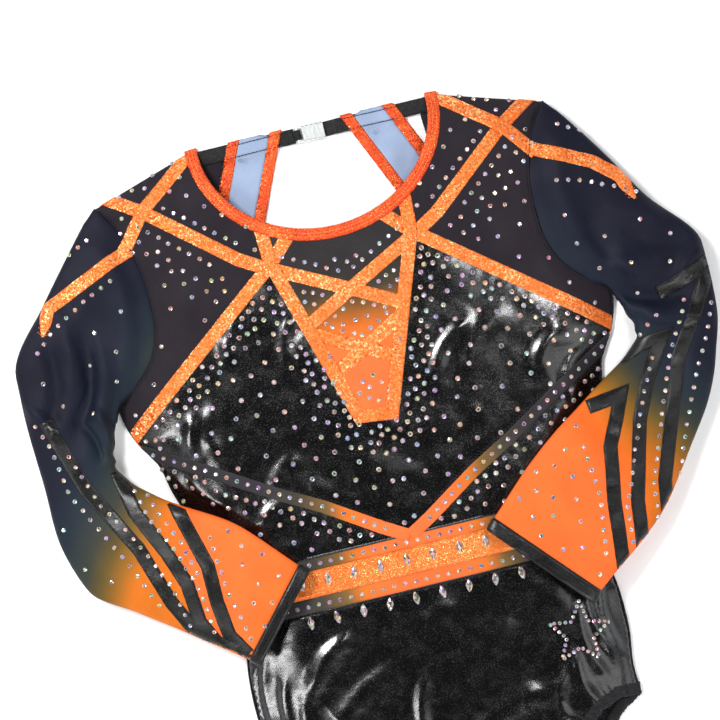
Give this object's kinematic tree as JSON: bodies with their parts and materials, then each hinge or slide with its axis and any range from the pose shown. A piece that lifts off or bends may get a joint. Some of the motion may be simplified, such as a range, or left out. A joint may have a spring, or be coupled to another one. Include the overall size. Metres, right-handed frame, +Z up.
{
  "type": "cheer uniform",
  "caption": "Long-sleeved black and orange cheer uniform laid flat: foil panels, taped yoke, V insert, waistband, gradient sleeves, open back with neck clasp.",
  "frame": {"origin": "on the table under the middle of the garment's bounding box", "axes": "+X to the wearer's left, +Y from the crotch to the neck, +Z up out of the garment's front"},
  "size_m": [0.4872, 0.566, 0.0335],
  "materials": {
    "black_foil": "wet-look foil knit, glossy with fine speckle",
    "black_foil_stripe": "wet-look foil appliqué, stitched edges",
    "printed_insert": "printed knit fading from charcoal through olive to bright orange",
    "printed_strip": "printed knit fading from charcoal at the sides to orange in the middle",
    "orange_foil_band": "orange metallic foil knit",
    "orange_tape": "orange metallic foil tape with zigzag-stitched edges",
    "orange_binding": "orange-red metallic binding with two stitch rows",
    "dark_mesh": "matt charcoal stretch mesh",
    "pale_reverse": "pale blue reverse of printed knit",
    "sleeve_print": "matt mesh printed from navy through olive to orange",
    "black_elastic": "ribbed black elastic",
    "lining": "matt black cotton lining",
    "label": "blank white satin label",
    "clear_plastic": "clear moulded plastic"
  },
  "bodies": {
    "bodice": {"front_panel": "black_foil", "brief_front": "black_foil", "lower_side_left": "black_foil", "lower_side_right": "black_foil", "back_panel": "black_foil", "brief_back": "black_foil", "v_insert": "printed_insert", "waist_strip_upper": "printed_strip", "waist_strip_lower": "printed_strip", "underbust_strip_left": "printed_strip", "underbust_strip_right": "printed_strip", "waistband_front": "orange_foil_band", "waistband_back": "orange_foil_band", "v_point_tape": "orange_tape", "yoke_tape_left": "orange_tape", "v_tape_left": "orange_tape", "cross_tape_left": "orange_tape", "shoulder_tape_left": "orange_tape", "lattice_tape_left": "orange_tape", "sleeve_shoulder_tape_left": "orange_tape", "yoke_tape_right": "orange_tape", "v_tape_right": "orange_tape", "cross_tape_right": "orange_tape", "shoulder_tape_right": "orange_tape", "lattice_tape_right": "orange_tape", "sleeve_shoulder_tape_right": "orange_tape", "neck_binding": "orange_binding", "back_strap_binding_outer_left": "orange_binding", "back_strap_binding_inner_left": "orange_binding", "back_strap_binding_outer_right": "orange_binding", "back_strap_binding_inner_right": "orange_binding", "yoke_left": "dark_mesh", "yoke_right": "dark_mesh", "back_yoke_left": "dark_mesh", "back_yoke_right": "dark_mesh", "back_strap_left": "pale_reverse", "back_strap_right": "pale_reverse", "sleeve_upper_left": "sleeve_print", "sleeve_upper_right": "sleeve_print", "leg_elastic_left": "black_elastic", "leg_elastic_right": "black_elastic", "neck_elastic_left": "black_elastic", "neck_elastic_right": "black_elastic", "gusset_lining": "lining", "care_label": "label"},
    "left_forearm": {"sleeve_forearm_left": "sleeve_print", "cuff_binding_left": "black_foil", "sleeve_stripe_left_1": "black_foil_stripe", "sleeve_stripe_left_2": "black_foil_stripe", "sleeve_stripe_left_3": "black_foil_stripe"},
    "right_forearm": {"sleeve_forearm_right": "sleeve_print", "cuff_binding_right": "black_foil", "sleeve_stripe_right_1": "black_foil_stripe", "sleeve_stripe_right_2": "black_foil_stripe", "sleeve_stripe_right_3": "black_foil_stripe"},
    "clasp": {"neck_clasp": "clear_plastic"}
  },
  "joints": [
    {"name": "left_sleeve_fold", "type": "hinge", "parent": "bodice", "child": "left_forearm", "pos_m": [0.2151, 0.0894, 0.0225], "axis": [-0.9947, -0.1025, 0], "range_deg": [0, 70]},
    {"name": "right_sleeve_fold", "type": "hinge", "parent": "bodice", "child": "right_forearm", "pos_m": [-0.2136, 0.0789, 0.0225], "axis": [-0.9953, -0.0963, 0], "range_deg": [0, 70]},
    {"name": "clasp_swivel", "type": "hinge", "parent": "bodice", "child": "clasp", "pos_m": [-0.011, 0.277, 0.0024], "axis": [0, -1, 0], "range_deg": [0, 85]}
  ]
}
